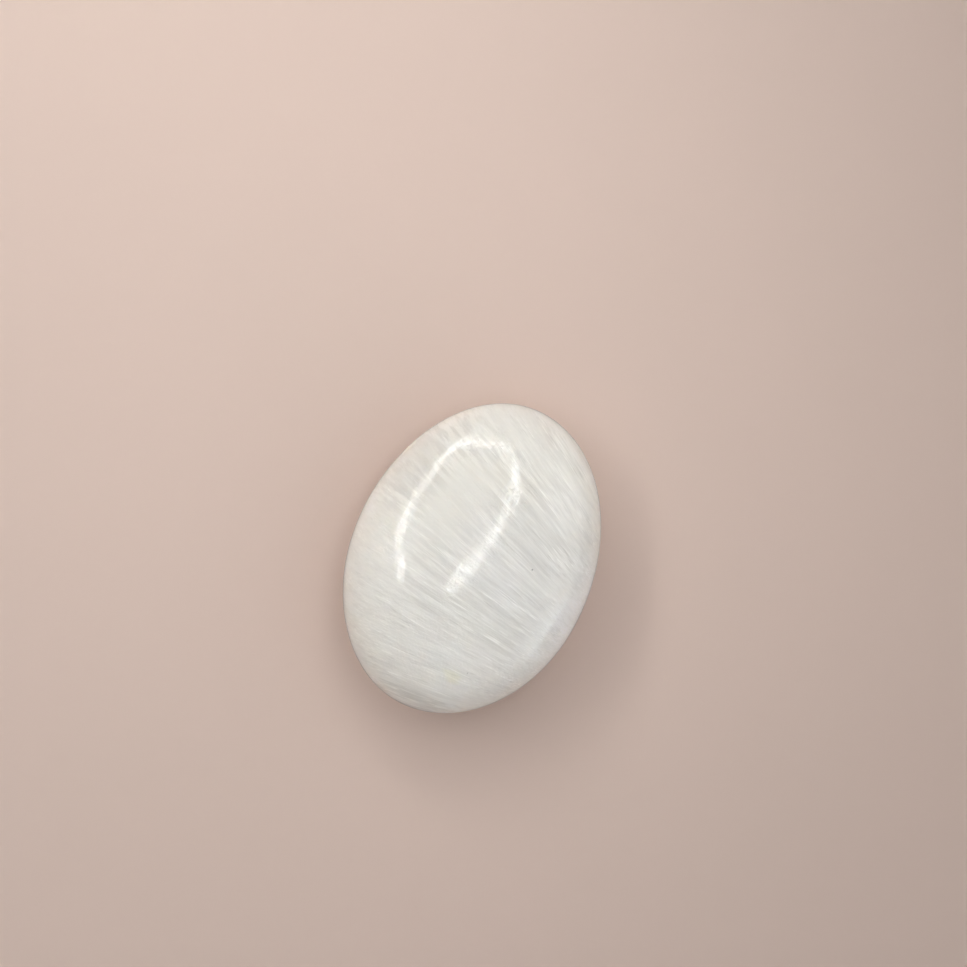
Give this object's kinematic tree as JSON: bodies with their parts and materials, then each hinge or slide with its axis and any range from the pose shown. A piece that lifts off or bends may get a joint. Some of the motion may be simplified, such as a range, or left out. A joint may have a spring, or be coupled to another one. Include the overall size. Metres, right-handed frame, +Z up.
{
  "type": "scolecite palm stone",
  "caption": "Hand-polished oval palm stone of milky white fibrous zeolite, domed on both faces, with a small flat seat underneath to rest on.",
  "frame": {"origin": "middle of the stone's footprint, level with the flat seat that it rests on", "axes": "+Y along the longest way, towards the slightly slimmer end; +X across the stone; +Z up out of the crown, its thinnest way"},
  "size_m": [0.045, 0.06, 0.022],
  "materials": {
    "polished_scolecite": "milky white polished stone, silky with fine fibres, glossy, a little translucent at the rim"
  },
  "bodies": {
    "root": {"palm_stone": "polished_scolecite"}
  },
  "joints": []
}
